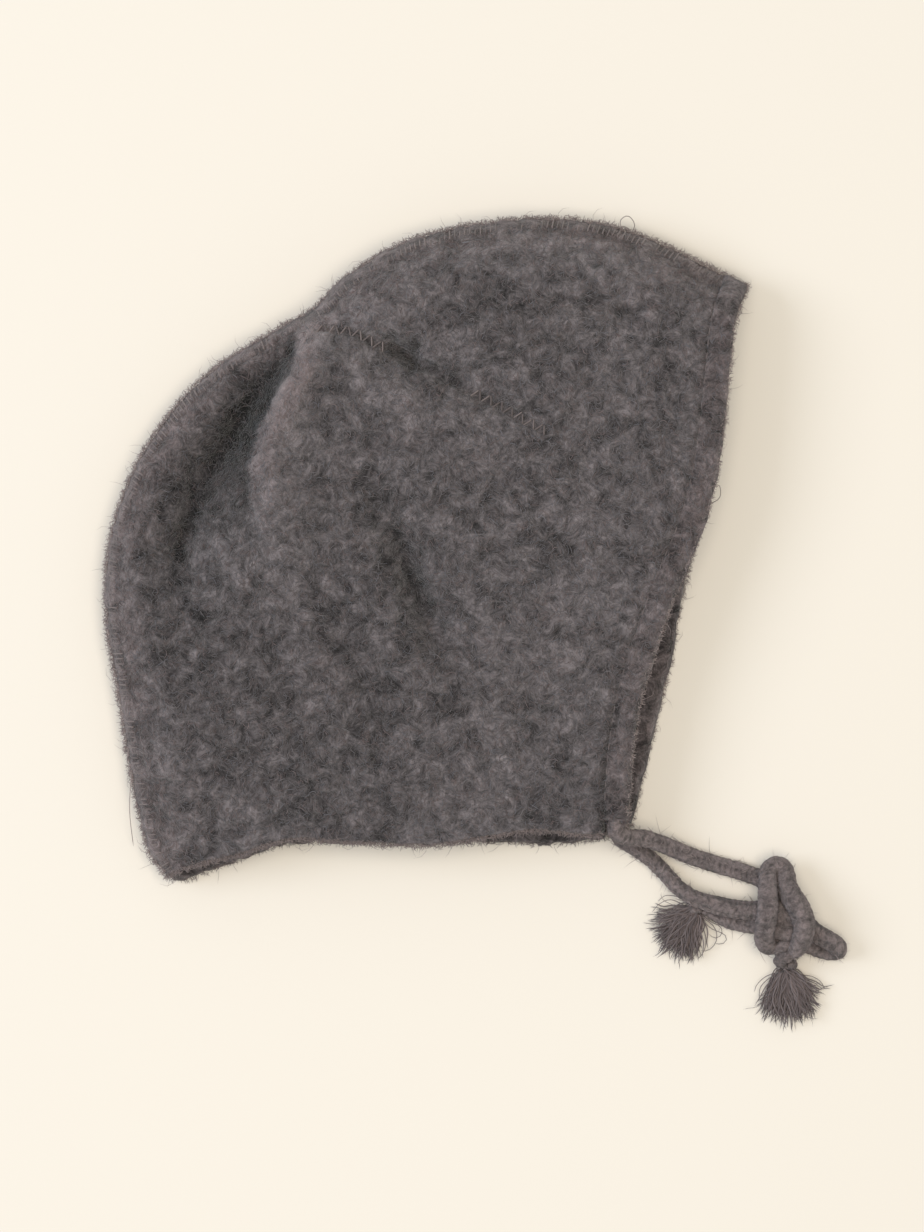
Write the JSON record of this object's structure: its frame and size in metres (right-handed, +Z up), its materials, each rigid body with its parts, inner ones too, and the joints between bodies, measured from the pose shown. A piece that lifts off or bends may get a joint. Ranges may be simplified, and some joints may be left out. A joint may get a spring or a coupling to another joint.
{
  "type": "baby bonnet",
  "caption": "Baby bonnet of thick felted wool lying flat on its side, two panels joined by a centre seam, a folded hem round the face and two cord ties knotted together, with frayed ends",
  "frame": {"origin": "On the surface that the bonnet lies on, under the middle of its cloth", "axes": "+Z is up from the far side panel to the near one, +Y runs from the neck to the crown, and +X from the back of the head to the face"},
  "size_m": [0.1852, 0.2031, 0.0271],
  "materials": {
    "wool_felt": "thick felted wool, grey-brown melange with pale fibres",
    "wool_hem": "the same felt, folded over and stitched",
    "wool_cord": "soft fuzzy wool cord",
    "wool_fringe": "frayed wool strands"
  },
  "bodies": {
    "root": {"near_panel": "wool_felt", "far_panel": "wool_felt", "near_face_hem": "wool_hem", "far_face_hem": "wool_hem", "near_tie": "wool_cord", "far_tie": "wool_cord", "near_tassel": "wool_fringe", "far_tassel": "wool_fringe"}
  },
  "joints": []
}
